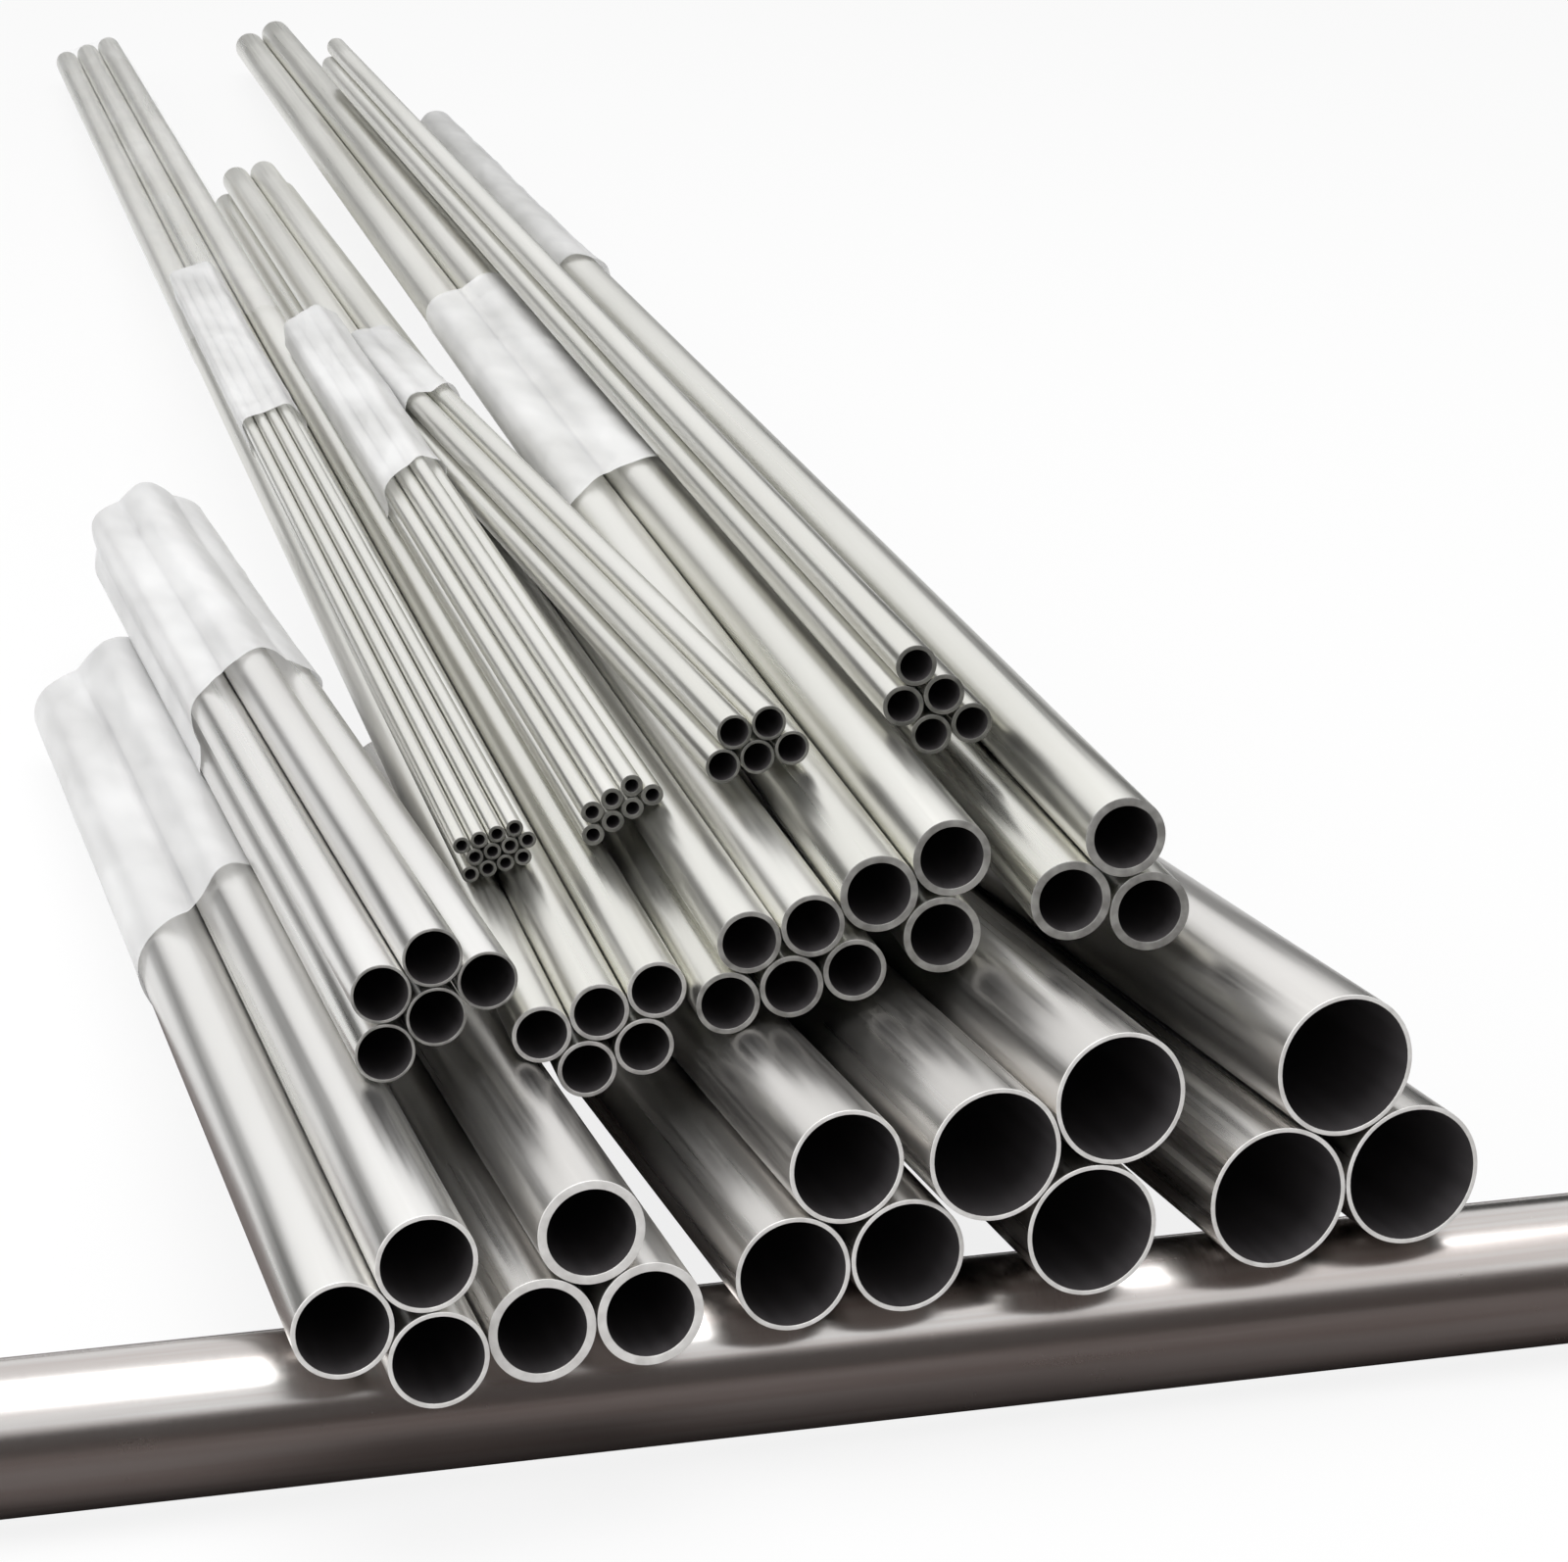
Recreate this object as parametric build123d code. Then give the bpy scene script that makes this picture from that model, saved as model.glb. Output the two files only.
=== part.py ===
"""Bundles of steel tube, stacked across a bearer pipe.

Millimetres, +Z up. X runs along the bearer pipe and Y along the tubes, from the
ends that face the viewer (low Y) to the far ends. The floor is Z = 0. The stack
is laid out with the bearer pipe's axis over Y = 0 and moved at the end, so that
the origin lies on the floor under the middle of the whole stack.

Each bundle is a set of like tubes that lie side by side in close rows. The
lowest tier lies on the bearer pipe and, at its far end, on the floor. Each
higher tier lies on the tubes below it, and where they end on the floor.
"""
import os
from math import atan2, cos, degrees, hypot, radians, sin, sqrt, tan

from build123d import *

# Bearer pipe
BEARER_OD = 40.0
BEARER_WALL = 2.0
BEARER_LENGTH = 600.0
BEARER_LEFT = 190.0

# Clearances
TUBE_GAP = 0.3
FILM_ROOM = 0.1
FILM_WALL = 0.15
FILM_CLEAR = 0.05
FILM_REACH = FILM_ROOM + FILM_WALL + FILM_CLEAR

# Bottom tier: outside diameter, wall and cut length of each bundle's tubes
A_OD = 25.0
A_WALL = 1.2
A_LENGTH = 600.0
B_OD = 26.9
B_WALL = 2.3
B_LENGTH = 500.0
C_OD = 30.0
C_WALL = 1.2
C_LENGTH = 500.0
D_OD = 35.0
D_WALL = 1.2
D_LENGTH = 500.0
E_OD = 38.0
E_WALL = 1.2
E_LENGTH = 500.0

# Middle tier
F_OD = 16.0
F_WALL = 0.8
F_LENGTH = 610.0
G_OD = 16.0
G_WALL = 1.2
G_LENGTH = 2000.0
H_OD = 17.2
H_WALL = 1.4
H_LENGTH = 1500.0
I_OD = 21.3
I_WALL = 2.0
I_LENGTH = 2000.0
J_OD = 22.0
J_WALL = 2.3
J_LENGTH = 1600.0

# Top tier
K_OD = 5.0
K_WALL = 0.9
K_LENGTH = 900.0
L_OD = 6.5
L_WALL = 1.3
L_LENGTH = 720.0
M_OD = 10.0
M_WALL = 0.9
M_LENGTH = 700.0
N_OD = 12.0
N_WALL = 1.3
N_LENGTH = 1500.0

# Where the near end of each bundle lies: how far behind the bearer pipe's axis, and where along it
A_FRONT = -50.7
A_X = 22.5
B_FRONT = -43.0
B_X = 49.5
C_FRONT = -28.0
C_X = 117.0
D_FRONT = -25.7
D_X = 194.0
E_FRONT = -20.9
E_X = 244.5
F_FRONT = 45.9
F_X = 29.8
G_FRONT = 53.0
G_X = 83.0
H_FRONT = 45.8
H_X = 119.0
I_FRONT = 52.5
I_X = 179.0
J_FRONT = 44.9
J_X = 231.0
K_FRONT = 149.0
K_X = 67.4
L_FRONT = 146.8
L_X = 102.0
M_FRONT = 134.0
M_X = 139.0
N_FRONT = 140.0
N_X = 198.8

# Where the film of each wrapped bundle starts, from the near end, and how far short of the far end it stops
A_FILM = 270.0
F_FILM = 300.0
G_FILM = 900.0
I_FILM = 430.0
I_FILM_STOP = 860.0
J_FILM = 950.0
K_FILM = 540.0
L_FILM = 390.0
M_FILM = 520.0
FILM_SHORT = 4.0

# Room at the side between a bundle and the one on its left
A_B_ROOM = 0.5
B_C_ROOM = 2.2
C_D_ROOM = 1.6
D_E_ROOM = 5.8
F_G_ROOM = 8.9
G_H_ROOM = 0.4
H_I_ROOM = 0.4
I_J_ROOM = 11.6
K_L_ROOM = 12.0
L_M_ROOM = 1.6
M_N_ROOM = 30.2

# How the tubes of a bundle lie: column and row of each in rows that nest
THREE = [(0, 0), (1, 0), (0, 1)]
THREE_LEANING = [(0, 0), (-1, 1), (0, 1)]
FOUR_AND_ONE = [(0, 0), (0, 1), (1, 0), (1, 1), (2, 0)]
TWO_AND_THREE = [(0, 0), (1, 0), (-1, 1), (0, 1), (1, 1)]
THREE_AND_TWO = [(0, 0), (1, 0), (2, 0), (0, 1), (1, 1)]
TWO_COLUMNS = [(0, 0), (-1, 1), (1, 0), (-1, 2), (0, 1)]
FOUR_AND_THREE = [(0, 0), (1, 0), (2, 0), (3, 0), (0, 1), (1, 1), (2, 1)]
THREE_ROWS_OF_FOUR = [(column - row // 2, row) for row in range(3) for column in range(4)]

# Sides of the section of the two thinnest tubes
THIN_SIDES = 12

# Steps along a bundle at which rooms are measured
STATIONS = 80


class Bundle:
    """Like tubes side by side, as one straight group that leans and slopes as a whole.

    x is where the axis of the first seat crosses Y = 0, front the Y of its near
    end, turn how far the rows are turned from level and yaw how far the bundle
    is swung to the right.
    """

    def __init__(self, name, od, wall, length, seats, turn, yaw, front, x=0.0, film=None, sides=0):
        self.name = name
        self.od = od
        self.wall = wall
        self.length = length
        self.seats = seats
        self.turn = radians(turn)
        self.yaw = radians(yaw)
        self.front = front
        self.x = x
        self.film = film
        self.sides = sides
        self.height = 0.0
        self.slope = 0.0

    def reach(self):
        """Radius that neighbours stay clear of, with the film where there is one."""
        return self.od / 2 + (FILM_REACH if self.film else 0.0)

    def section(self, radius):
        """A round section, or for the thinnest tubes one of a few flats."""
        return RegularPolygon(radius, self.sides) if self.sides else Circle(radius)

    def seat_offsets(self):
        """Sideways and upward offset of each tube's axis from the first seat."""
        pitch = self.od + TUBE_GAP
        offsets = []
        for column, row in self.seats:
            along = (column + row / 2) * pitch
            across = row * sqrt(3) / 2 * pitch
            side = along * cos(self.turn) - across * sin(self.turn)
            up = along * sin(self.turn) + across * cos(self.turn)
            offsets.append((side, up))
        return offsets

    def end_y(self):
        return self.front + self.length * cos(self.yaw) / hypot(1.0, self.slope)

    def spread(self):
        """How far the square ends of the outer tubes reach past the first seat's."""
        return max(abs(side * sin(self.yaw)) + abs(up * self.slope) for side, up in self.seat_offsets())

    def axes_at(self, y):
        """X and Z of every tube's axis where the bundle passes the station y."""
        middle = self.x + tan(self.yaw) * y
        level = self.height + self.slope * y
        lean = cos(atan2(self.slope, 1.0))
        return [(middle + side / cos(self.yaw), level + up / lean) for side, up in self.seat_offsets()]

    def plane(self):
        """Plane of the near ends: X to the side, Y downward, Z along the tubes."""
        pitch = atan2(self.slope * cos(self.yaw), 1.0)
        along = Vector(sin(self.yaw) * cos(pitch), cos(self.yaw) * cos(pitch), sin(pitch))
        side = Vector(cos(self.yaw), -sin(self.yaw), 0.0)
        origin = Vector(self.x + tan(self.yaw) * self.front, self.front, self.height + self.slope * self.front)
        return Plane(origin=origin, x_dir=side, z_dir=along)


def bearer_top(y):
    """Height of the bearer pipe's top at the station y, or none beside it."""
    radius = BEARER_OD / 2
    if abs(y) >= radius:
        return None
    return radius + sqrt(radius * radius - y * y)


def least_height(bundle, below, y):
    """Lowest height of a bundle at the station y that is clear of all that lies below it."""
    heights = []
    middle = bundle.height + bundle.slope * y
    for x, z in bundle.axes_at(y):
        above = z - middle
        heights.append(bundle.reach() - above)
        top = bearer_top(y)
        if top is not None:
            heights.append(top + bundle.reach() + TUBE_GAP - above)
        for other in below:
            if not other.front - other.spread() <= y <= other.end_y() + other.spread():
                continue
            apart = bundle.reach() + other.reach() + TUBE_GAP
            for other_x, other_z in other.axes_at(y):
                beside = (x - other_x) * cos((bundle.yaw + other.yaw) / 2)
                if abs(beside) < apart:
                    heights.append(other_z + sqrt(apart * apart - beside * beside) - above)
    return max(heights)


def settle(bundle, below):
    """Lets a straight bundle down until it lies on two stations, one before and one behind its middle."""
    front = bundle.front - bundle.spread()
    end = bundle.end_y() + bundle.spread()
    stations = [front + (end - front) * step / STATIONS for step in range(STATIONS + 1)]
    stations += [y for y in range(-6, 7, 2) if front <= y <= end]
    hull = []
    for y in sorted(stations):
        point = (y, least_height(bundle, below, y))
        while len(hull) > 1 and turns_up(hull[-2], hull[-1], point):
            hull.pop()
        hull.append(point)
    for (y0, z0), (y1, z1) in zip(hull, hull[1:]):
        if y0 <= (front + end) / 2 <= y1:
            bundle.slope = (z1 - z0) / (y1 - y0)
            bundle.height = z0 - bundle.slope * y0


def turns_up(first, middle, last):
    """Whether the middle point lies on or under the line from the first to the last."""
    rise = (last[1] - first[1]) * (middle[0] - first[0])
    return (middle[1] - first[1]) * (last[0] - first[0]) <= rise


def side_room(left, right):
    """Least room at the side between two bundles, less than nothing where they would overlap."""
    rooms = []
    start = max(left.front, right.front)
    end = min(left.end_y(), right.end_y())
    for step in range(STATIONS + 1):
        y = start + (end - start) * step / STATIONS
        for left_x, left_z in left.axes_at(y):
            for right_x, right_z in right.axes_at(y):
                apart = left.reach() + right.reach()
                rise = right_z - left_z
                if abs(rise) < apart:
                    beside = sqrt(apart * apart - rise * rise) / cos(right.yaw)
                    rooms.append(right_x - left_x - beside)
    return min(rooms, default=None)


def lay(bundle, below, left=None, room=0.0):
    """Settles a bundle beside its left neighbour, with the given room between them."""
    for _ in range(6):
        settle(bundle, below)
        gap = side_room(left, bundle) if left else None
        if gap is not None:
            bundle.x += room - gap
    settle(bundle, below)


def tubes(bundle):
    """The bundle's tubes, sawn square."""
    near = bundle.plane()
    ring = bundle.section(bundle.od / 2) - bundle.section(bundle.od / 2 - bundle.wall)
    return [extrude(near * Pos(side, -up) * ring, bundle.length) for side, up in bundle.seat_offsets()]


def film_sleeve(bundle):
    """Thin film drawn tight round all the tubes over one stretch of the bundle."""
    start, stop = bundle.film

    def outline(grown):
        circles = Sketch() + [Pos(side, -up) * Circle(bundle.od / 2 + grown) for side, up in bundle.seat_offsets()]
        return make_hull(circles.edges())

    ring = outline(FILM_ROOM + FILM_WALL) - outline(FILM_ROOM)
    return extrude(bundle.plane() * Pos(0, 0, start) * ring, stop - start)


# Bottom tier
bundle_a = Bundle("a", A_OD, A_WALL, A_LENGTH, THREE_LEANING, turn=33, yaw=-5.6,
                  front=A_FRONT, x=A_X, film=(A_FILM, A_LENGTH - FILM_SHORT))
bundle_b = Bundle("b", B_OD, B_WALL, B_LENGTH, THREE, turn=0, yaw=-5.6,
                  front=B_FRONT, x=B_X)
bundle_c = Bundle("c", C_OD, C_WALL, C_LENGTH, THREE, turn=0, yaw=-6.6,
                  front=C_FRONT, x=C_X)
bundle_d = Bundle("d", D_OD, D_WALL, D_LENGTH, THREE_LEANING, turn=16, yaw=-6.9,
                  front=D_FRONT, x=D_X)
bundle_e = Bundle("e", E_OD, E_WALL, E_LENGTH, THREE, turn=0, yaw=-7.9,
                  front=E_FRONT, x=E_X)
lay(bundle_a, [])
lay(bundle_b, [], bundle_a, A_B_ROOM)
lay(bundle_c, [], bundle_b, B_C_ROOM)
lay(bundle_d, [], bundle_c, C_D_ROOM)
lay(bundle_e, [], bundle_d, D_E_ROOM)
bottom_tier = [bundle_a, bundle_b, bundle_c, bundle_d, bundle_e]

# Middle tier
bundle_f = Bundle("f", F_OD, F_WALL, F_LENGTH, FOUR_AND_ONE, turn=30, yaw=-5.3,
                  front=F_FRONT, x=F_X, film=(F_FILM, F_LENGTH - FILM_SHORT))
bundle_g = Bundle("g", G_OD, G_WALL, G_LENGTH, TWO_AND_THREE, turn=16, yaw=-2.8,
                  front=G_FRONT, x=G_X, film=(G_FILM, G_LENGTH - FILM_SHORT))
bundle_h = Bundle("h", H_OD, H_WALL, H_LENGTH, THREE_AND_TWO, turn=9, yaw=-2.1,
                  front=H_FRONT, x=H_X)
bundle_i = Bundle("i", I_OD, I_WALL, I_LENGTH, THREE_LEANING, turn=22, yaw=-1.5,
                  front=I_FRONT, x=I_X, film=(I_FILM, I_FILM_STOP))
bundle_j = Bundle("j", J_OD, J_WALL, J_LENGTH, THREE_LEANING, turn=47, yaw=-0.7,
                  front=J_FRONT, x=J_X, film=(J_FILM, J_LENGTH - FILM_SHORT))
lay(bundle_f, bottom_tier)
lay(bundle_g, bottom_tier, bundle_f, F_G_ROOM)
lay(bundle_h, bottom_tier, bundle_g, G_H_ROOM)
lay(bundle_i, bottom_tier, bundle_h, H_I_ROOM)
lay(bundle_j, bottom_tier, bundle_i, I_J_ROOM)
middle_tier = [bundle_f, bundle_g, bundle_h, bundle_i, bundle_j]

# Top tier
lower_tiers = bottom_tier + middle_tier
bundle_k = Bundle("k", K_OD, K_WALL, K_LENGTH, THREE_ROWS_OF_FOUR, turn=13, yaw=-2.9,
                  front=K_FRONT, x=K_X, film=(K_FILM, K_LENGTH - FILM_SHORT), sides=THIN_SIDES)
bundle_l = Bundle("l", L_OD, L_WALL, L_LENGTH, FOUR_AND_THREE, turn=30, yaw=-2.9,
                  front=L_FRONT, x=L_X, film=(L_FILM, L_LENGTH - FILM_SHORT), sides=THIN_SIDES)
bundle_m = Bundle("m", M_OD, M_WALL, M_LENGTH, THREE_AND_TWO, turn=9, yaw=-3.9,
                  front=M_FRONT, x=M_X, film=(M_FILM, M_LENGTH - FILM_SHORT))
bundle_n = Bundle("n", N_OD, N_WALL, N_LENGTH, TWO_COLUMNS, turn=11, yaw=-1.8,
                  front=N_FRONT, x=N_X)
lay(bundle_k, lower_tiers)
lay(bundle_l, lower_tiers, bundle_k, K_L_ROOM)
lay(bundle_m, lower_tiers, bundle_l, L_M_ROOM)
lay(bundle_n, lower_tiers, bundle_m, M_N_ROOM)
top_tier = [bundle_k, bundle_l, bundle_m, bundle_n]

# Bearer pipe
bearer_ring = Circle(BEARER_OD / 2) - Circle(BEARER_OD / 2 - BEARER_WALL)
bearer_plane = Plane(origin=(-BEARER_LEFT, 0, BEARER_OD / 2), x_dir=(0, 1, 0), z_dir=(1, 0, 0))
pieces = {"bearer_pipe": extrude(bearer_plane * bearer_ring, BEARER_LENGTH)}

# Tubes: the two bundles of thinnest tube are one node each
for bundle in bottom_tier + middle_tier + top_tier:
    made = tubes(bundle)
    if bundle in (bundle_k, bundle_l):
        pieces[f"tubes_{bundle.name}"] = Compound(children=made)
    else:
        for number, tube in enumerate(made, start=1):
            pieces[f"tube_{bundle.name}_{number}"] = tube
    if bundle.film:
        pieces[f"film_{bundle.name}"] = film_sleeve(bundle)

# The origin is moved to the floor under the middle of the whole stack
boxes = [piece.bounding_box() for piece in pieces.values()]
middle_x = (min(box.min.X for box in boxes) + max(box.max.X for box in boxes)) / 2
middle_y = (min(box.min.Y for box in boxes) + max(box.max.Y for box in boxes)) / 2

os.makedirs("parts", exist_ok=True)
for name, piece in pieces.items():
    export_step(piece.moved(Pos(-middle_x, -middle_y, 0)), f"parts/{name}.step")
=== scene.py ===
"""Bundles of bright steel tube on a polished bearer pipe, with clear film round their far stretches."""

import bpy
import numpy as np
from mathutils import Matrix


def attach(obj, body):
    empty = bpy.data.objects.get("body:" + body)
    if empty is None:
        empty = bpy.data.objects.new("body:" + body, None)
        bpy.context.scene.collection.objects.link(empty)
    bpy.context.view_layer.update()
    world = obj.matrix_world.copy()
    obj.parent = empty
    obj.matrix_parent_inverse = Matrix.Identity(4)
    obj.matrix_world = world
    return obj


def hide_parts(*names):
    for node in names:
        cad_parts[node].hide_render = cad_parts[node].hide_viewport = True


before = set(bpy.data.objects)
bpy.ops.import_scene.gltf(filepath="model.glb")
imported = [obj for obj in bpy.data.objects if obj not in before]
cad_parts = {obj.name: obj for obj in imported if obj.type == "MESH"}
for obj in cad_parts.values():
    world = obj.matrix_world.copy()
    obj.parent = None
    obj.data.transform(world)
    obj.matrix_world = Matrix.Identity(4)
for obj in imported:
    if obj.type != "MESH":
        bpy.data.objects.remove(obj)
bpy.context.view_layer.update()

# Camera, as the photograph was taken: degrees, metres and focal length in image widths
CAMERA_PLACE = (-0.147, -1.8569, 0.5055)
CAMERA_YAW = 10.6
CAMERA_DOWN = 20.53
CAMERA_ROLL = 0.96
FOCAL_WIDTHS = 2.4225
SENSOR = 36.0
CLIP_END = 50.0

# Tubes: the arc that breaks each rim, the steps round a tube and the stretches along its walls
EDGE_BREAK = 0.00022
EDGE_SHARE = 0.3
ARC_POINTS = 4
ROUND_STEPS = 72
THIN_STEPS = 28
THIN_RADIUS = 0.004
STRETCH = 0.08

# Surfaces of a tube, in the order of its finishes
OUTSIDE = 0
CUT = 1
BORE = 2

# CAD corners: digits of a metre that tell two apart, and how near an end those of its rims lie
CORNER_DIGITS = 7
END_SLICE = 0.001

# Greatest random shift of the finish on a tube, so that no two look alike
FINISH_SHIFT = 5.0

# Film round its tubes: how far it stands off them, its sag between them, its lap in radians, and
# how far the lap rises as a share of the first
FILM_STAND = 0.0004
SAG = 0.4
THIN_SAG = 0.1
LAP = 0.35
LAP_LIFT = 0.5

# Film's mesh: points round it, distance from row to row, and steps in which its outline is found
FILM_ROUND = 130
FILM_PITCH = 0.004
OUTLINE_SAMPLES = 1541

# Films with an open far end, films that are clear, and the random seed of the first film
OPEN_FILMS = ["film_g", "film_i"]
CLEAR_FILMS = ["film_g"]
FILM_SEED = 40

# Film's wrinkles: their height and sizes, the lean of the film's finish, and how much of the
# height is left where film faces sideways
WRINKLE = 0.0015
FOLD_SIZES = (0.110, 0.060, 0.033)
FOLD_WAVES = 5
FOLD_ALONG = 0.45
FOLD_WIDTH = 3.0
FOLD_SHARPNESS = 3
FOLD_LEAN = 0.16
SIDE_LIFT = 0.3

# Film's near edge: how far it starts inside, its slant, its teeth and its ruffle
EDGE_INSET = 0.004
EDGE_SLANT = 0.012
EDGE_FADE = 8
TOOTH = 0.003
TOOTH_PITCH = 0.031
RUFFLE = 0.0028
RUFFLE_PITCH = 0.043
RUFFLE_REACH = 0.02

# Film's far end, gathered like a bag's
BAG_ROUND = 0.016
BAG_ROWS = 14
BAG_MOUTH = 0.16

# Floor: half its width, its own shade, and how much of it is plain white to camera and reflections
FLOOR_HALF = 8.0
FLOOR_SHADE = (0.8, 0.8, 0.8)
FLOOR_WHITE = 0.85

# Dark cards round the pile, which only reflections see: their plan and the mat in front of it
CARD_LEFT = -1.6
CARD_RIGHT = 2.2
CARD_FRONT = -2.8
CARD_BACK = 3.4
CORNER_X = 1.2
CORNER_Y = 2.4
FRONT_HALF = 2.4
MAT_BACK = -0.7
MAT_LIFT = 0.002
LEFT_SHADE = (0.05, 0.05, 0.045)
RIGHT_SHADE = (0.03, 0.03, 0.027)
FRONT_SHADE = (0.07, 0.058, 0.054)
MAT_SHADE = (0.12, 0.10, 0.095)

# Room: strength of its light on things and as it is seen itself, and the place that the lamps face
ROOM_LIGHT = 0.6
ROOM_SEEN = 1.0
LIT_PLACE = (0.0, -0.6, 0.0)

# Colour sockets of a mix node: the two that are mixed, and the outcome
MIX_FIRST = 6
MIX_SECOND = 7
MIX_RESULT = 2


class Value:
    """A node's output, which adds Math nodes when it is used in sums."""

    def __init__(self, nodes, socket):
        self.nodes = nodes
        self.socket = socket

    def math(self, operation, other):
        """The value and another put through one Math node."""
        return self.nodes.add("ShaderNodeMath", {"operation": operation}, [self, other])

    def __add__(self, other):
        return self.math("ADD", other)

    def __mul__(self, other):
        return self.math("MULTIPLY", other)

    __radd__ = __add__

    def spread(self, low, high, new_low=0.0, new_high=1.0):
        """The value taken from one range to another and held inside it."""
        return self.nodes.add("ShaderNodeMapRange", {"clamp": True}, [self, low, high, new_low, new_high])


def opaque(colour):
    """A colour with its alpha; a node's output stays as it is."""
    return colour if isinstance(colour, Value) else (*colour, 1.0)


class Nodes:
    """A node tree to which nodes are added one by one."""

    def __init__(self, tree):
        self.tree = tree

    def link(self, value, socket):
        """Joins a node's output to a socket, or sets the socket to a plain value."""
        if isinstance(value, Value):
            self.tree.links.new(value.socket, socket)
        else:
            socket.default_value = value

    def add(self, kind, settings=None, inputs=(), output=0):
        """A node of a kind, with its settings first and then its inputs by order or by name."""
        node = self.tree.nodes.new(kind)
        for key, value in (settings or {}).items():
            setattr(node, key, value)
        named = inputs.items() if isinstance(inputs, dict) else enumerate(inputs)
        for key, value in named:
            self.link(value, node.inputs[key])
        return Value(self, node.outputs[output])

    def background_rays(self):
        """One for what the camera sees directly, by reflection or through something clear, else zero."""
        path = self.tree.nodes.new("ShaderNodeLightPath")
        camera_ray, glossy_ray, through_ray = [
            Value(self, path.outputs[f"Is {kind} Ray"]) for kind in ("Camera", "Glossy", "Transmission")]
        return camera_ray.math("MAXIMUM", glossy_ray).math("MAXIMUM", through_ray)


class Finish(Nodes):
    """One material and its nodes."""

    def __init__(self, name):
        self.material = bpy.data.materials.new(name)
        self.material.use_nodes = True
        super().__init__(self.material.node_tree)
        self.tree.nodes.clear()
        self.output = self.tree.nodes.new("ShaderNodeOutputMaterial")

    def own_place(self):
        """Place on the piece itself: across it, and along it, in metres."""
        return self.add("ShaderNodeAttribute", {"attribute_name": "own_place"}, output="Vector")

    def noise(self, place, across, along, detail, roughness=0.5):
        """Soft noise with so many waves in a metre across the piece and along it."""
        waves = (across, across, along)
        stretched = self.add("ShaderNodeVectorMath", {"operation": "MULTIPLY"}, [place, waves])
        return self.add("ShaderNodeTexNoise", {"noise_dimensions": "3D"},
                        {"Vector": stretched, "Scale": 1.0, "Detail": detail, "Roughness": roughness})

    def mix(self, factor, first, second):
        """The first colour where the factor is zero, the second where it is one."""
        node = self.tree.nodes.new("ShaderNodeMix")
        node.data_type = "RGBA"
        self.link(factor, node.inputs["Factor"])
        self.link(opaque(first), node.inputs[MIX_FIRST])
        self.link(opaque(second), node.inputs[MIX_SECOND])
        return Value(self, node.outputs[MIX_RESULT])

    def bump(self, height, strength, distance):
        """Direction of a surface that the height raises."""
        return self.add("ShaderNodeBump", None,
                        {"Height": height, "Strength": strength, "Distance": distance})

    def surface(self, **inputs):
        """Joins a surface with the named inputs to the material, and returns the material."""
        names = {key.replace("_", " "): value for key, value in inputs.items()}
        shader = self.add("ShaderNodeBsdfPrincipled", None, names)
        self.tree.links.new(shader.socket, self.output.inputs["Surface"])
        return self.material


def drawn_steel(name, pale, dark, rough):
    """Bright tube drawn through a die: fine lines along it, and broad soft bands and clouds."""
    steel = Finish(name)
    place = steel.own_place()
    lines = steel.noise(place, across=700.0, along=4.0, detail=2.0)
    bands = steel.noise(place, across=110.0, along=0.8, detail=2.0)
    clouds = steel.noise(place, across=14.0, along=2.5, detail=3.0)
    worn = (clouds * 0.7 + bands * 0.3).spread(0.33, 0.67)
    colour = steel.mix(worn, dark, pale)
    fine_change = lines.spread(0.3, 0.7, new_low=-0.04, new_high=0.04)
    broad_change = clouds.spread(0.3, 0.7, new_low=-0.04, new_high=0.04)
    return steel.surface(Base_Color=colour, Metallic=1.0, Roughness=rough + fine_change + broad_change,
                         Normal=steel.bump(lines, strength=0.035, distance=0.0002))


def sawn_end(name, dark, pale):
    """Cut face: fine saw marks, and spots where the cut is brighter or duller."""
    cut = Finish(name)
    place = cut.own_place()
    teeth = cut.noise(place, across=1400.0, along=1400.0, detail=3.0)
    spots = cut.noise(place, across=220.0, along=220.0, detail=2.0).spread(0.35, 0.65)
    colour = cut.mix(spots, dark, pale)
    roughness = teeth.spread(0.3, 0.7, new_low=0.38, new_high=0.6)
    return cut.surface(Base_Color=colour, Metallic=0.3, Roughness=roughness,
                       Normal=cut.bump(teeth, strength=0.2, distance=0.0002))


def shaded_bore_wall():
    """Inside of a tube: unpolished and dull, its colour painted nearly black as painted shade deep in the
    bore.
    """
    # Near-black colours: painted shade of the bore, not the steel's own colour
    dark = (0.036, 0.032, 0.034)
    pale = (0.052, 0.047, 0.050)
    inside = Finish("shaded_bore_wall")
    place = inside.own_place()
    streaks = inside.noise(place, across=260.0, along=9.0, detail=3.0).spread(0.3, 0.7)
    colour = inside.mix(streaks, dark, pale)
    roughness = streaks.spread(0.0, 1.0, new_low=0.6, new_high=0.8)
    return inside.surface(Base_Color=colour, Metallic=0.0, Roughness=roughness)


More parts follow.
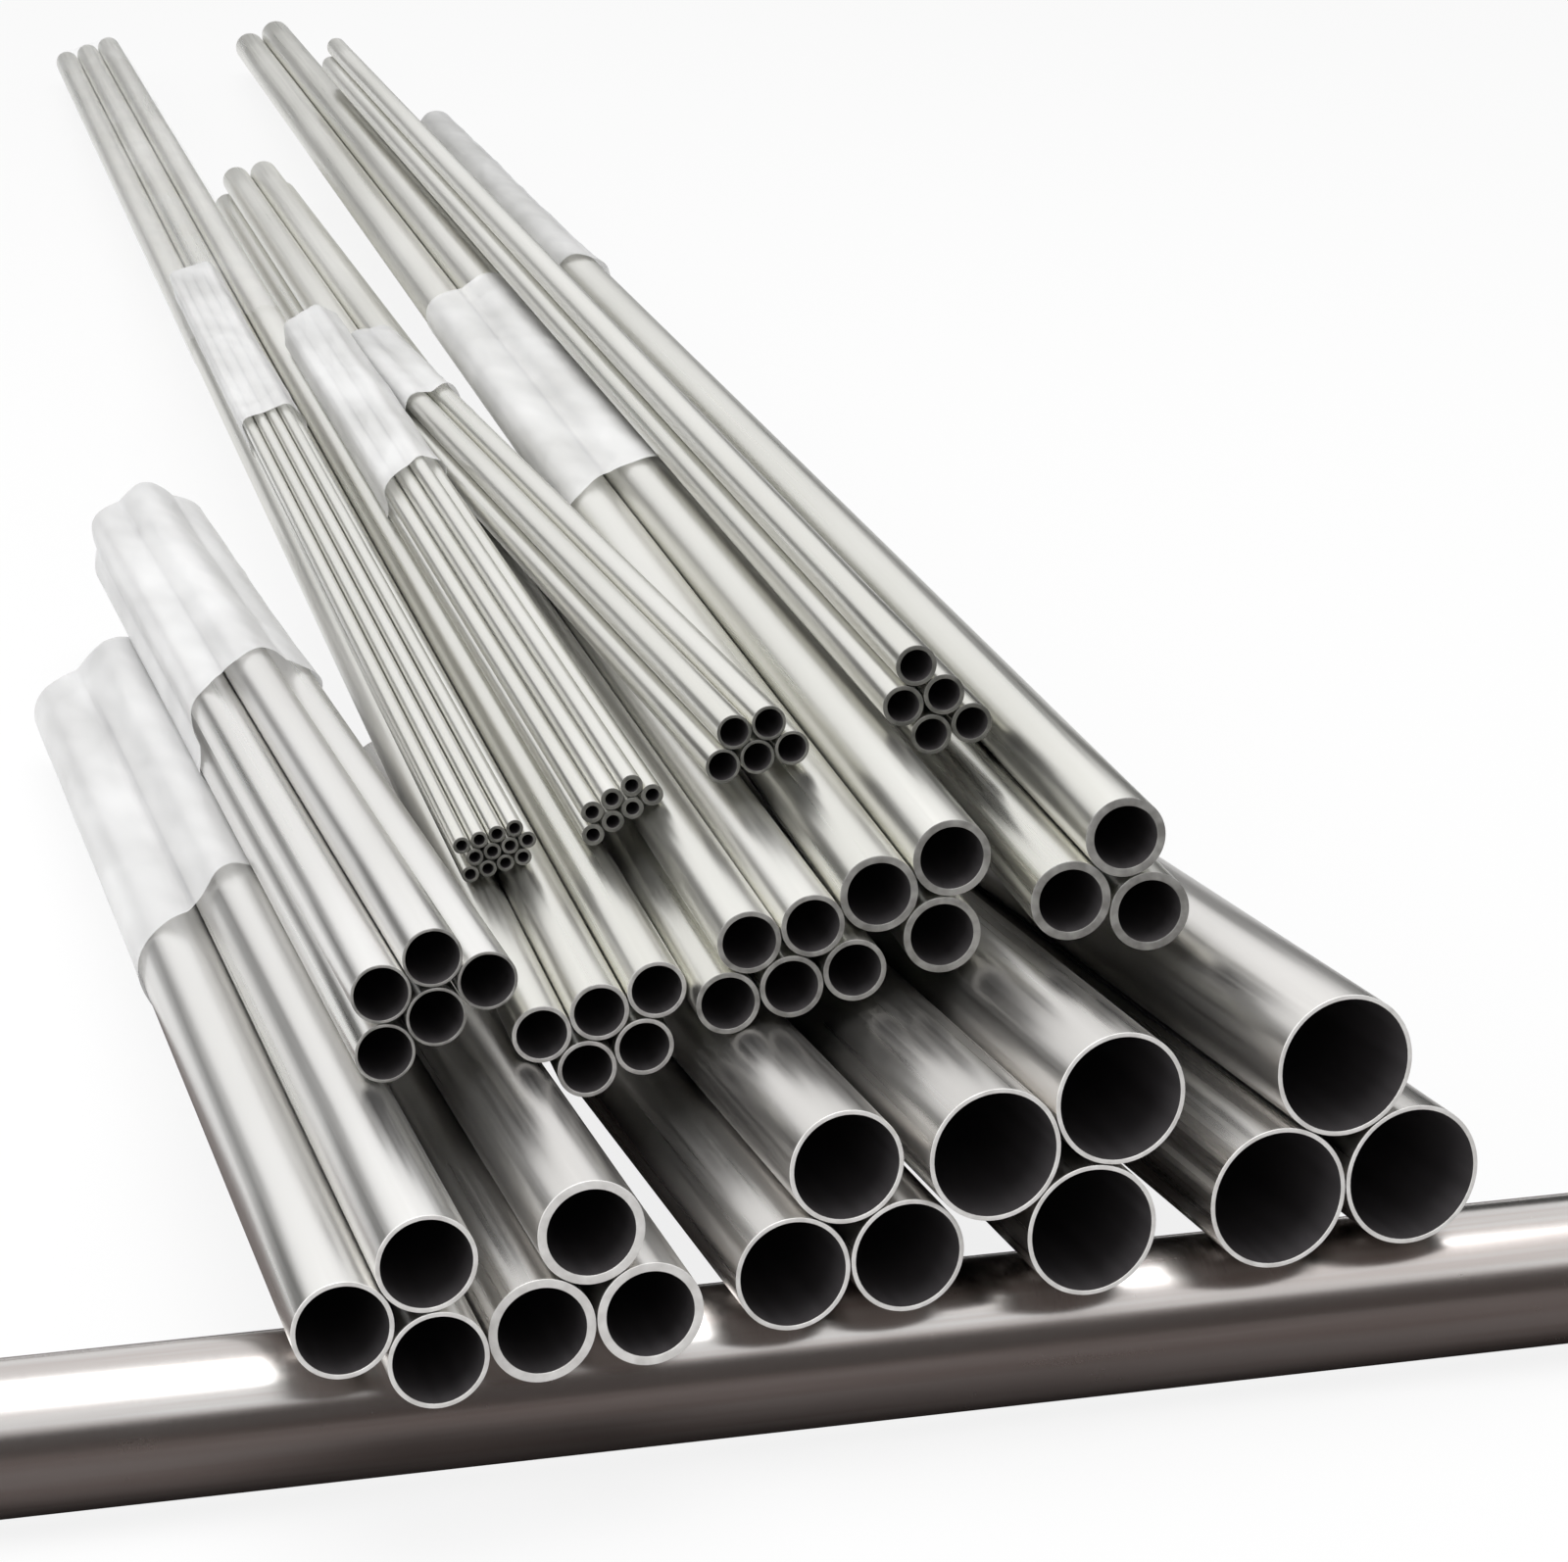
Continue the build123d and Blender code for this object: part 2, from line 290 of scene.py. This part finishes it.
def polished_steel():
    """Bearer pipe: mirror bright, with faint round polish lines, dull smears and specks."""
    bright = (0.66, 0.65, 0.64)
    streaked = (0.54, 0.495, 0.475)
    smeared = (0.52, 0.48, 0.465)
    mirror = Finish("polished_steel")
    place = mirror.own_place()
    smears = mirror.noise(place, across=30.0, along=8.0, detail=4.0).spread(0.45, 0.75)
    specks = mirror.noise(place, across=420.0, along=420.0, detail=1.0).spread(0.76, 0.80)
    lines = mirror.noise(place, across=20.0, along=1100.0, detail=2.0)
    streaks = mirror.noise(place, across=120.0, along=2.0, detail=3.0, roughness=0.6).spread(0.42, 0.62)
    plain = mirror.mix(streaks, bright, streaked)
    colour = mirror.mix(smears * 0.5, plain, smeared)
    line_change = lines.spread(0.3, 0.7, new_low=0.0, new_high=0.02)
    roughness = 0.17 + streaks * 0.07 + smears * 0.08 + specks * 0.06 + line_change
    return mirror.surface(Base_Color=colour, Metallic=1.0, Roughness=roughness,
                          Normal=mirror.bump(lines, strength=0.015, distance=0.0001))


def clear_film(name, thinnest, thickest, crumpled):
    """Packing film: clearer where it lies flat, and milkier along its broad folds."""
    thin = (0.78, 0.78, 0.785)
    thick = (0.85, 0.85, 0.85)
    film = Finish(name)
    place = film.own_place()
    folds = film.noise(place, across=45.0, along=9.0, detail=2.0)
    creases = film.noise(place, across=170.0, along=40.0, detail=3.0, roughness=0.6)
    milky = folds.spread(0.3, 0.7)
    colour = film.mix(milky, thin, thick)
    return film.surface(Base_Color=colour, Metallic=0.0, Roughness=0.32,
                        Alpha=milky.spread(0.0, 1.0, new_low=thinnest, new_high=thickest),
                        Normal=film.bump(folds + creases * 0.35, strength=crumpled, distance=0.002))


def make_mesh(name, points, faces, places):
    """Smooth mesh object from corner points, four-sided faces and each point's place on its own piece."""
    mesh = bpy.data.meshes.new(name)
    mesh.from_pydata(points.reshape(-1, 3).tolist(), [], faces.tolist())
    own = mesh.attributes.new("own_place", "FLOAT_VECTOR", "POINT")
    own.data.foreach_set("vector", places.reshape(-1).astype(np.float32))
    mesh.polygons.foreach_set("use_smooth", np.ones(len(mesh.polygons), dtype=bool))
    mesh.update()
    piece = bpy.data.objects.new(name, mesh)
    bpy.context.scene.collection.objects.link(piece)
    return piece


def grid_faces(rows, columns, close_rows=False, close_columns=True):
    """Faces of a grid whose rows or columns may close on themselves."""
    row = np.arange(rows if close_rows else rows - 1)[:, None]
    column = np.arange(columns if close_columns else columns - 1)[None, :]
    next_row = (row + 1) % rows
    next_column = (column + 1) % columns
    corners = [row * columns + column, next_row * columns + column,
               next_row * columns + next_column, row * columns + next_column]
    return np.stack(corners, -1).reshape(-1, 4)


def loose_parts(node):
    """Corner points of each closed solid of a CAD node, in metres."""
    mesh = node.data
    points = np.empty(len(mesh.vertices) * 3)
    mesh.vertices.foreach_get("co", points)
    points = points.reshape(-1, 3)
    keys, index = np.unique(np.round(points, CORNER_DIGITS), axis=0, return_inverse=True)
    index = index.ravel()
    group = np.arange(len(keys))
    edges = np.empty(len(mesh.edges) * 2, dtype=np.int64)
    mesh.edges.foreach_get("vertices", edges)
    ends = index[edges.reshape(-1, 2)]
    while True:
        least = group.copy()
        np.minimum.at(least, ends[:, 0], group[ends[:, 1]])
        np.minimum.at(least, ends[:, 1], group[ends[:, 0]])
        least = least[least]
        if np.array_equal(least, group):
            break
        group = least
    return [keys[group == label] for label in np.unique(group)]


def straight_axis(points):
    """Near centre, direction, length, outer and inner radius of a straight tube's corner points.

    The near end is the front one, or the left one of a tube that lies crosswise.
    """
    middle = points.mean(0)
    along = np.linalg.svd(points - middle, full_matrices=False)[2][0]
    if along @ (1.0, 1.0, 0.0) < 0:
        along = -along
    reach = (points - middle) @ along
    near = points[reach < reach.min() + END_SLICE].mean(0)
    far = points[reach > reach.max() - END_SLICE].mean(0)
    length = np.linalg.norm(far - near)
    along = (far - near) / length
    apart = points - near
    radius = np.linalg.norm(apart - np.outer(apart @ along, along), axis=1)
    return near, along, length, radius.max(), radius.min()


def across(along):
    """Two directions square to a line, the second mostly upward."""
    side = np.cross(along, (0.0, 0.0, 1.0))
    side = side / np.linalg.norm(side)
    return side, np.cross(side, along)


def tube_profile(outer, inner, length):
    """Half section of a tube as radius and distance along, with both rims of each end broken by a small arc.

    The straight walls are divided into even stretches.

    Returns the profile and, for each of its steps, which surface of the tube it makes.
    """
    rim = min(EDGE_BREAK, (outer - inner) * EDGE_SHARE)
    turn = np.linspace(0.0, np.pi / 2, ARC_POINTS)
    outer_near = np.stack([outer - rim + rim * np.sin(turn), rim - rim * np.cos(turn)], 1)
    outer_far = np.stack([outer - rim + rim * np.cos(turn), length - rim + rim * np.sin(turn)], 1)
    inner_far = np.stack([inner + rim - rim * np.sin(turn), length - rim + rim * np.cos(turn)], 1)
    inner_near = np.stack([inner + rim - rim * np.cos(turn), rim - rim * np.sin(turn)], 1)
    stretches = max(1, round(length / STRETCH))
    between = np.linspace(rim, length - rim, stretches + 1)[1:-1]
    outside = np.stack([np.full(len(between), outer), between], 1)
    bore_side = np.stack([np.full(len(between), inner), between[::-1]], 1)
    profile = np.concatenate([outer_near, outside, outer_far, inner_far, bore_side, inner_near])
    arc = ARC_POINTS - 1
    kinds = ([CUT] * arc + [OUTSIDE] * stretches + [CUT] * (2 * arc + 1)
             + [BORE] * stretches + [CUT] * (arc + 1))
    return profile, np.array(kinds)


def tube_mesh(name, solids, finishes, seed):
    """Tubes as surfaces of revolution: the half section's radius turned about the axis, step by step."""
    luck = np.random.default_rng(seed)
    all_points, all_faces, all_places, all_kinds = [], [], [], []
    offset = 0
    for near, along, length, outer, inner in solids:
        steps = THIN_STEPS if outer < THIN_RADIUS else ROUND_STEPS
        profile, kinds = tube_profile(outer, inner, length)
        side, up = across(along)
        turn = np.linspace(0.0, 2 * np.pi, steps, endpoint=False)
        radial = np.cos(turn)[:, None] * side + np.sin(turn)[:, None] * up
        points = near + profile[:, 1, None, None] * along + profile[:, 0, None, None] * radial
        own = np.stack([profile[:, 0, None] * np.cos(turn), profile[:, 0, None] * np.sin(turn),
                        np.repeat(profile[:, 1, None], steps, 1)], -1)
        faces = grid_faces(len(profile), steps, close_rows=True) + offset
        offset += points.shape[0] * points.shape[1]
        all_points.append(points.reshape(-1, 3))
        all_places.append((own + luck.uniform(0.0, FINISH_SHIFT, 3)).reshape(-1, 3))
        all_faces.append(faces)
        all_kinds.append(np.repeat(kinds, steps))
    piece = make_mesh(name, np.concatenate(all_points), np.concatenate(all_faces), np.concatenate(all_places))
    for finish in finishes:
        piece.data.materials.append(finish)
    piece.data.polygons.foreach_set("material_index", np.concatenate(all_kinds))
    piece.data.update()
    return piece


def hull_outline(centres, radius, count):
    """Outline of a band round circles of one radius.

    It follows for each direction the circle that reaches furthest, and sags between two circles.
    The band starts and ends underneath, where its edges lap. Returns evenly spaced points, the
    outward direction at each, and the band's length.
    """
    turn = np.linspace(-np.pi / 2, 1.5 * np.pi + LAP, OUTLINE_SAMPLES)
    outward = np.stack([np.cos(turn), np.sin(turn)], 1)
    furthest = np.argmax(outward @ centres.T, axis=1)
    points = centres[furthest] + radius * outward
    distance = np.concatenate([[0.0], np.cumsum(np.linalg.norm(np.diff(points, axis=0), axis=1))])
    even = np.linspace(0.0, distance[-1], count)
    outline = np.stack([np.interp(even, distance, points[:, axis]) for axis in (0, 1)], 1)
    facing = np.stack([np.interp(even, distance, outward[:, axis]) for axis in (0, 1)], 1)
    facing = facing / np.linalg.norm(facing, axis=1)[:, None]
    nearest = np.min(np.linalg.norm(outline[:, None, :] - centres[None, :, :], axis=2), axis=1)
    sag = THIN_SAG if radius < THIN_RADIUS else SAG
    outline = outline - sag * (nearest - radius)[:, None] * facing
    return outline, facing, distance[-1]


def wrinkles(around, along, luck):
    """Folds of thin film, zero to one.

    Waves of one size with random directions are summed to n. The folds are the lines where n
    passes zero, (1 - |n| / FOLD_WIDTH) to the power FOLD_SHARPNESS. The sizes are added with the
    broad ones strongest. Waves lie FOLD_ALONG times as dense along the film as round it.
    """
    height = np.zeros(np.broadcast(around, along).shape)
    for size in FOLD_SIZES:
        sum_of_waves = np.zeros(height.shape)
        for _ in range(FOLD_WAVES):
            lean = luck.uniform(0.0, 2 * np.pi)
            length = size * luck.uniform(0.7, 1.5)
            across_waves = FOLD_ALONG * np.cos(lean) * along + np.sin(lean) * around
            sum_of_waves += np.sin(2 * np.pi * across_waves / length + luck.uniform(0.0, 2 * np.pi))
        height += size * (1.0 - np.clip(np.abs(sum_of_waves) / FOLD_WIDTH, 0.0, 1.0)) ** FOLD_SHARPNESS
    return height / height.max()


def film_piece(node_name, tubes, film, seed):
    """Film round a bundle: the tight outline carried along the tubes and lifted by folds.

    The near edge is ragged. The far end of a film that isn't open is gathered like a bag's: over
    BAG_ROUND the outline shrinks towards its middle as sqrt(1 - t^2), t running from 0 to 1.
    """
    luck = np.random.default_rng(seed)
    ends = loose_parts(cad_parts[node_name])[0]
    near, along, _, outer, _ = tubes[0]
    side, up = across(along)
    reach = (ends - near) @ along
    start, stop = reach.min(), reach.max()
    centres = np.array([[(tube[0] - near) @ side, (tube[0] - near) @ up] for tube in tubes])
    outline, facing, girth = hull_outline(centres, outer + FILM_STAND, FILM_ROUND)
    rows = int((stop - start) / FILM_PITCH)
    share = np.linspace(0.0, 1.0, rows)
    distance = start + EDGE_INSET + share * (stop - start - EDGE_INSET)
    shrink = np.ones(rows)
    if node_name not in OPEN_FILMS:
        gathered = np.sin(np.linspace(0.0, np.pi / 2, BAG_ROWS + 1)[1:])
        distance = np.concatenate([distance, stop + BAG_ROUND * gathered])
        shrink = np.concatenate([shrink, np.maximum(np.sqrt(1.0 - gathered ** 2), BAG_MOUTH)])
        share = np.concatenate([share, np.ones(BAG_ROWS)])
    around = np.linspace(0.0, girth, FILM_ROUND)[None, :]
    lap = np.linspace(0.0, 1.0, FILM_ROUND)[None, :] * FILM_STAND * LAP_LIFT
    slant = EDGE_SLANT * np.cos(2 * np.pi * around / girth + luck.uniform(2.0, 4.0))
    teeth = TOOTH * np.sin(2 * np.pi * around / TOOTH_PITCH)
    ragged = (slant + teeth) * (1 - share[:, None]) ** EDGE_FADE
    distance = distance[:, None] + ragged
    upward = np.clip(facing[:, 1] * (1.0 - SIDE_LIFT) + SIDE_LIFT, 0.0, 1.0)[None, :]
    waves = np.sin(2 * np.pi * around / RUFFLE_PITCH + luck.uniform(0, 6)) ** 2
    ruffle = RUFFLE * np.exp(-(distance - start) / RUFFLE_REACH) * waves
    lift = lap + (WRINKLE * wrinkles(around, distance, luck) + ruffle) * upward
    flat = outline[None, :, :] + lift[:, :, None] * facing[None, :, :]
    middle = centres.mean(0)
    flat = middle + (flat - middle) * shrink[:, None, None]
    points = near + distance[:, :, None] * along + flat[:, :, 0, None] * side + flat[:, :, 1, None] * up
    own = np.stack([flat[:, :, 0] * np.cos(FOLD_LEAN) + distance * np.sin(FOLD_LEAN), flat[:, :, 1],
                    distance * np.cos(FOLD_LEAN) - flat[:, :, 0] * np.sin(FOLD_LEAN)], -1)
    faces = grid_faces(len(shrink), FILM_ROUND, close_columns=False)
    piece = make_mesh(f"wrap_{node_name}", points, faces, own)
    piece.data.materials.append(film)
    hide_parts(node_name)
    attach(piece, "root")
    return piece, girth, distance[-1, 0] - start


def flat_plate(name, corners, material):
    """One flat four-sided face of the surroundings."""
    mesh = bpy.data.meshes.new(name)
    mesh.from_pydata(corners, [], [(0, 1, 2, 3)])
    mesh.materials.append(material)
    plate = bpy.data.objects.new(name, mesh)
    bpy.context.scene.collection.objects.link(plate)
    return plate


def level_corners(left, right, front, back, height):
    """Corners of a level rectangle."""
    return [(left, front, height), (right, front, height), (right, back, height), (left, back, height)]


def card(name, corners, shade):
    """Dark card that only reflections see."""
    plate = flat_plate(name, corners, Finish(name).surface(Base_Color=opaque(shade), Roughness=0.9))
    plate.visible_camera = False
    plate.visible_diffuse = False
    plate.visible_shadow = False


def wall(name, first, last, high, shade):
    """Card that stands on the floor from one place to another."""
    card(name, [(*first, 0.0), (*last, 0.0), (*last, high), (*first, high)], shade)


def stand(side, up, back, place):
    """Matrix that turns a thing's own three axes to three directions and puts it in its place."""
    rows = [[side[k], up[k], back[k], place[k]] for k in range(3)]
    return Matrix(rows + [[0, 0, 0, 1]])


def lamp(name, place, target, size, power):
    """Broad soft lamp that faces a place."""
    light = bpy.data.lights.new(name, "AREA")
    light.shape = "RECTANGLE"
    light.size, light.size_y = size
    light.energy = power
    holder = bpy.data.objects.new(name, light)
    bpy.context.scene.collection.objects.link(holder)
    towards = np.array(target, float) - np.array(place, float)
    towards /= np.linalg.norm(towards)
    side = np.cross(towards, (0.0, 0.0, 1.0))
    side /= np.linalg.norm(side)
    holder.matrix_world = stand(side, np.cross(side, towards), -towards, place)


# Finishes
# Sawn ends: one cut steel in lit and shaded copies, palest on A to E and the bearer, then G, then F and H to
# J, darkest on K to N; painted light and shade by where the ends sit in the pile
lit_end = sawn_end("lit_end", dark=(0.74, 0.725, 0.705), pale=(0.90, 0.89, 0.87))
half_shaded_end = sawn_end("half_shaded_end", dark=(0.42, 0.41, 0.40), pale=(0.60, 0.59, 0.575))
shaded_end = sawn_end("shaded_end", dark=(0.22, 0.215, 0.205), pale=(0.37, 0.365, 0.35))
deep_shaded_end = sawn_end("deep_shaded_end", dark=(0.10, 0.10, 0.092), pale=(0.18, 0.178, 0.165))
painted_shade_bore = shaded_bore_wall()
pale_steel = drawn_steel("pale_steel", pale=(0.865, 0.86, 0.845), dark=(0.765, 0.755, 0.73), rough=0.32)
warm_steel = drawn_steel("warm_steel", pale=(0.835, 0.83, 0.795), dark=(0.70, 0.695, 0.645), rough=0.32)
# Darker copy of the drawn steel for bundles B to E, low in the pile: painted shade from the tiers above them
shaded_steel = drawn_steel("shaded_steel", pale=(0.78, 0.765, 0.745), dark=(0.58, 0.565, 0.545), rough=0.31)
bearer_finishes = [polished_steel(), lit_end, painted_shade_bore]
finishes_of = {}
# Each bundle's steel and cut end: the darker copies among them are painted shade by where the bundle lies in
# the pile
for letters, outside, end in (("a", pale_steel, lit_end),
                              ("bcde", shaded_steel, lit_end),
                              ("f", pale_steel, shaded_end),
                              ("g", warm_steel, half_shaded_end),
                              ("hij", warm_steel, shaded_end),
                              ("klmn", warm_steel, deep_shaded_end)):
    for letter in letters:
        finishes_of[letter] = [outside, end, painted_shade_bore]
film_finish = clear_film("milky_film", thinnest=0.56, thickest=0.8, crumpled=0.07)
loose_finish = clear_film("clear_film", thinnest=0.08, thickest=0.25, crumpled=0.06)

# Tubes, and the bearer pipe
solids_of = {}
for order, (name, node) in enumerate(sorted(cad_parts.items())):
    if name.startswith("film"):
        continue
    solids = [straight_axis(points) for points in loose_parts(node)]
    solids_of[name] = solids
    is_bearer = name == "bearer_pipe"
    letter = name.split("_")[1]
    piece = tube_mesh(f"fine_{name}", solids, bearer_finishes if is_bearer else finishes_of[letter], order)
    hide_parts(name)
    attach(piece, "root")

# Film
for order, name in enumerate(sorted(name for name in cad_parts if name.startswith("film"))):
    letter = name[-1]
    tubes = [solid for key, solids in solids_of.items()
             if key.startswith((f"tube_{letter}_", f"tubes_{letter}")) for solid in solids]
    finish = loose_finish if name in CLEAR_FILMS else film_finish
    piece, girth, length = film_piece(name, tubes, finish, FILM_SEED + order)
    first_tube = f"tube_{letter}_1"
    carrier = first_tube if first_tube in solids_of else f"tubes_{letter}"

# Floor: pale and dull to the light, and nearly plain white to the camera and in reflections
pale = Finish("pale_floor")
lit = pale.add("ShaderNodeBsdfDiffuse", None, {"Color": opaque(FLOOR_SHADE)})
white = pale.add("ShaderNodeEmission", None, {"Color": opaque((1.0, 1.0, 1.0)), "Strength": 1.0})
shown = pale.add("ShaderNodeMixShader", None, [pale.background_rays() * FLOOR_WHITE, lit, white])
pale.tree.links.new(shown.socket, pale.output.inputs["Surface"])
floor_corners = level_corners(-FLOOR_HALF, FLOOR_HALF, -FLOOR_HALF, FLOOR_HALF, 0.0)
flat_plate("floor", floor_corners, pale.material)

# Dark cards: walls round the pile, the right ones highest, and a mat in front of it
wall("front_card", (-FRONT_HALF, CARD_FRONT), (FRONT_HALF, CARD_FRONT), high=1.25, shade=FRONT_SHADE)
wall("left_card", (CARD_LEFT, CARD_FRONT), (CARD_LEFT, CARD_BACK), high=0.9, shade=LEFT_SHADE)
wall("back_card", (CARD_LEFT, CARD_BACK), (CORNER_X, CARD_BACK), high=0.4, shade=LEFT_SHADE)
wall("back_right_card", (CORNER_X, CARD_BACK), (CARD_RIGHT, CORNER_Y), high=1.9, shade=RIGHT_SHADE)
wall("right_card", (CARD_RIGHT, CORNER_Y), (CARD_RIGHT, CARD_FRONT), high=1.9, shade=RIGHT_SHADE)
card("front_mat", level_corners(-FRONT_HALF, FRONT_HALF, CARD_FRONT, MAT_BACK, MAT_LIFT), MAT_SHADE)

# Light: a pale room, a broad soft lamp overhead and a smaller one from the left
world = bpy.data.worlds.new("pale_room")
bpy.context.scene.world = world
world.use_nodes = True
background = world.node_tree.nodes["Background"]
background.inputs["Color"].default_value = opaque((1.0, 1.0, 1.0))
room = Nodes(world.node_tree)
room.link(room.background_rays().spread(0.0, 1.0, ROOM_LIGHT, ROOM_SEEN), background.inputs["Strength"])
lamp("overhead", place=(-0.2, -0.9, 2.4), target=LIT_PLACE, size=(2.4, 1.6), power=42.0)
lamp("left", place=(-2.2, -1.6, 1.4), target=LIT_PLACE, size=(1.4, 1.4), power=22.0)

# Camera
yaw, down, roll = np.radians([CAMERA_YAW, CAMERA_DOWN, CAMERA_ROLL])
forward = np.array([np.sin(yaw) * np.cos(down), np.cos(yaw) * np.cos(down), -np.sin(down)])
level = np.array([np.cos(yaw), -np.sin(yaw), 0.0])
below = np.cross(forward, level)
right = np.cos(roll) * level + np.sin(roll) * below
lower = -np.sin(roll) * level + np.cos(roll) * below
camera_data = bpy.data.cameras.new("camera")
camera_data.sensor_fit = "HORIZONTAL"
camera_data.sensor_width = SENSOR
camera_data.lens = FOCAL_WIDTHS * SENSOR
camera_data.clip_end = CLIP_END
camera = bpy.data.objects.new("camera", camera_data)
bpy.context.scene.collection.objects.link(camera)
camera.matrix_world = stand(right, -lower, -forward, CAMERA_PLACE)
bpy.context.scene.camera = camera
bpy.context.scene.view_settings.view_transform = "Standard"
